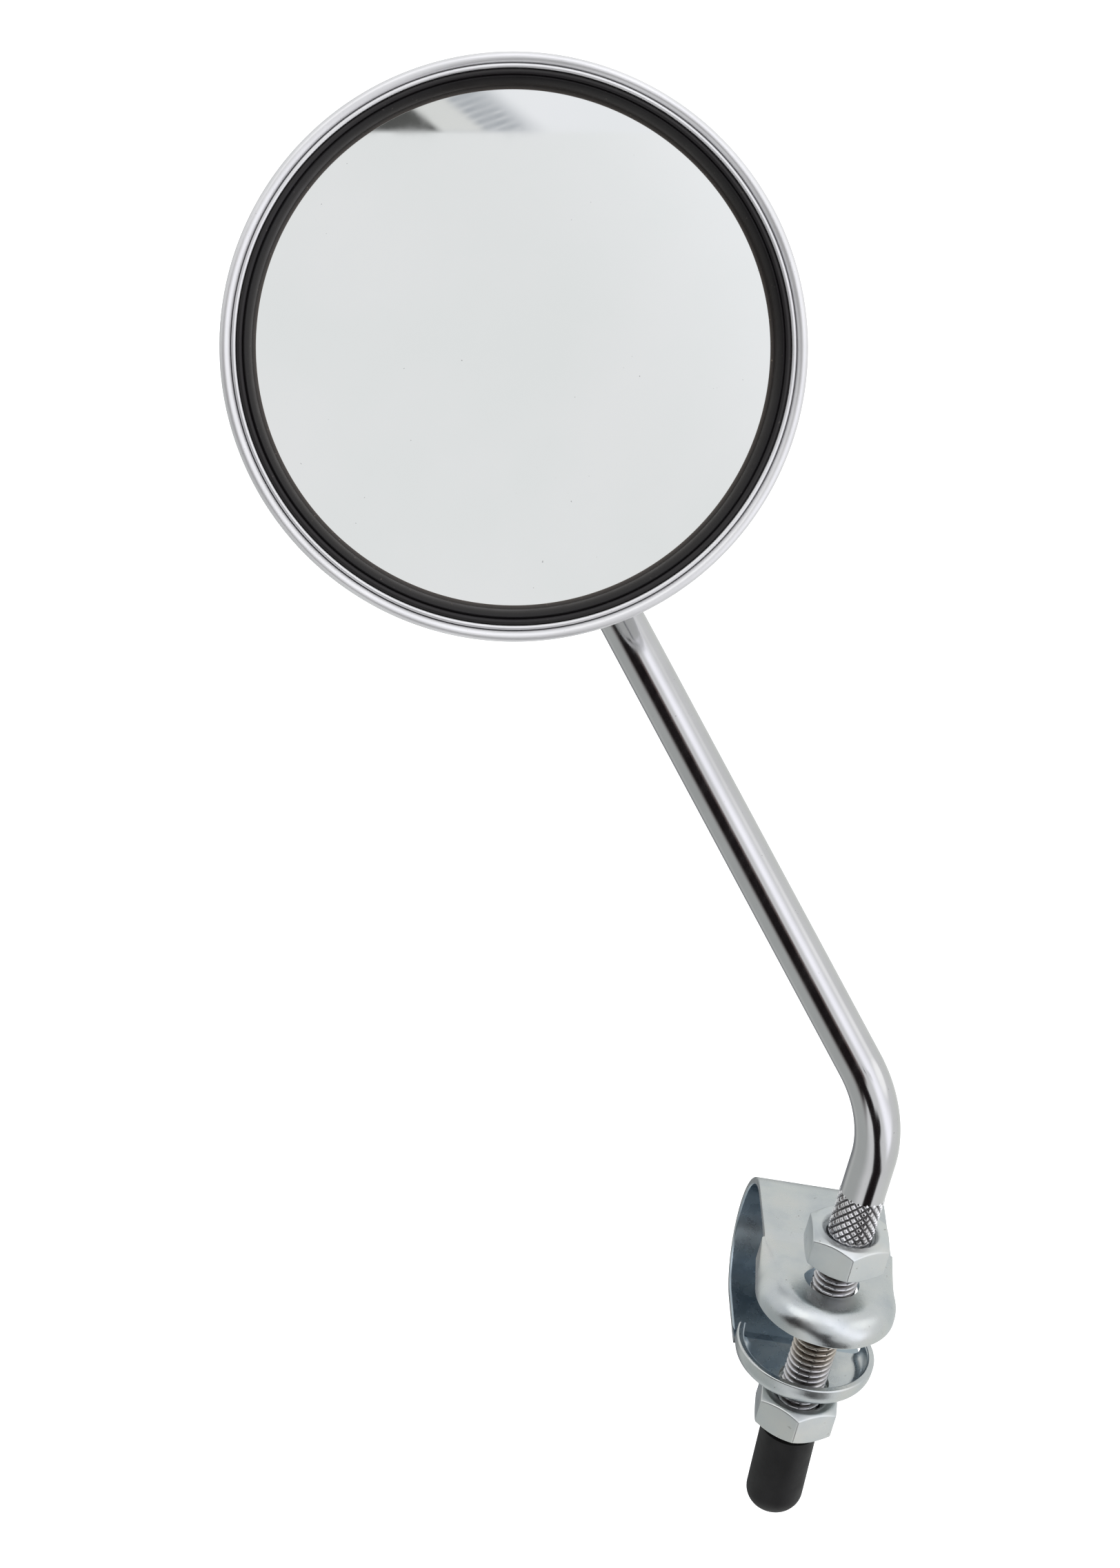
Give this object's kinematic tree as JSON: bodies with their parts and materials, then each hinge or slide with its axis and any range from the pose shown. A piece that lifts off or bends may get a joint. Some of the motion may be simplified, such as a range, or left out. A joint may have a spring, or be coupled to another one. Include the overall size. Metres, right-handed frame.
{
  "type": "bicycle mirror",
  "caption": "Round convex handlebar mirror: chrome bowl head on a ball joint, bent chrome rod arm with a threaded stud, and a U-shaped bar clamp closed by nuts.",
  "frame": {"origin": "centre of the handlebar bore of the clamp, on the bar's axis", "axes": "+X along the handlebar, +Z along the arm's threaded stud towards the mirror, -Y from the bar towards the clamp's ears"},
  "size_m": [0.1482, 0.1062, 0.233],
  "materials": {
    "zinc_strap": "satin",
    "zinc_nut": "satin",
    "black_vinyl": "matte",
    "chrome_arm": "polished",
    "polished_steel": "polished",
    "nylon": "satin",
    "pressed_steel": "satin",
    "spring_steel": "satin",
    "rivet_steel": "satin",
    "chrome_shell": "polished",
    "mirror_glass": "polished",
    "black_rubber": "satin",
    "foam": "matte"
  },
  "bodies": {
    "clamp": {"clamp_strap": "zinc_strap"},
    "arm": {"arm_rod": "chrome_arm", "pivot_ball": "polished_steel"},
    "upper_nut": {"upper_nut": "zinc_nut"},
    "lower_nut": {"lower_nut": "zinc_nut"},
    "end_cap": {"end_cap": "black_vinyl"},
    "rear_seat": {"rear_seat": "nylon"},
    "front_seat": {"front_seat": "nylon"},
    "head": {"head_shell": "chrome_shell", "mirror_glass": "mirror_glass", "glass_gasket": "black_rubber", "bezel_ring": "chrome_shell", "backing_pad": "foam", "spring_cup": "pressed_steel", "pressure_spring": "spring_steel", "spring_hat": "pressed_steel", "hat_rivets": "rivet_steel"}
  },
  "joints": [
    {"name": "arm_swivel", "type": "hinge", "parent": "clamp", "child": "arm", "pos_m": [0.0006, -0.022, 0], "axis": [0, 0, 1], "continuous": true},
    {"name": "upper_nut_travel", "type": "slide", "parent": "arm", "child": "upper_nut", "axis": [0, 0, -1], "range_m": [0, 0.005]},
    {"name": "lower_nut_travel", "type": "slide", "parent": "arm", "child": "lower_nut", "axis": [0, 0, 1], "range_m": [-0.0013, 0.0013]},
    {"name": "end_cap_pull", "type": "slide", "parent": "arm", "child": "end_cap", "axis": [0, 0, -1], "range_m": [0, 0.014]},
    {"name": "head_tilt", "type": "hinge", "parent": "arm", "child": "rear_seat", "pos_m": [-0.08382, 0.05446, 0.14173], "axis": [0.9945, -0.105, 0], "range_deg": [-12, 12]},
    {"name": "head_turn", "type": "hinge", "parent": "rear_seat", "child": "front_seat", "pos_m": [-0.08382, 0.05446, 0.14173], "axis": [0.0545, 0.5167, 0.8544], "range_deg": [-12, 7]},
    {"name": "head_spin", "type": "hinge", "parent": "front_seat", "child": "head", "pos_m": [-0.08382, 0.05446, 0.14173], "axis": [-0.0897, -0.8497, 0.5196], "continuous": true}
  ]
}
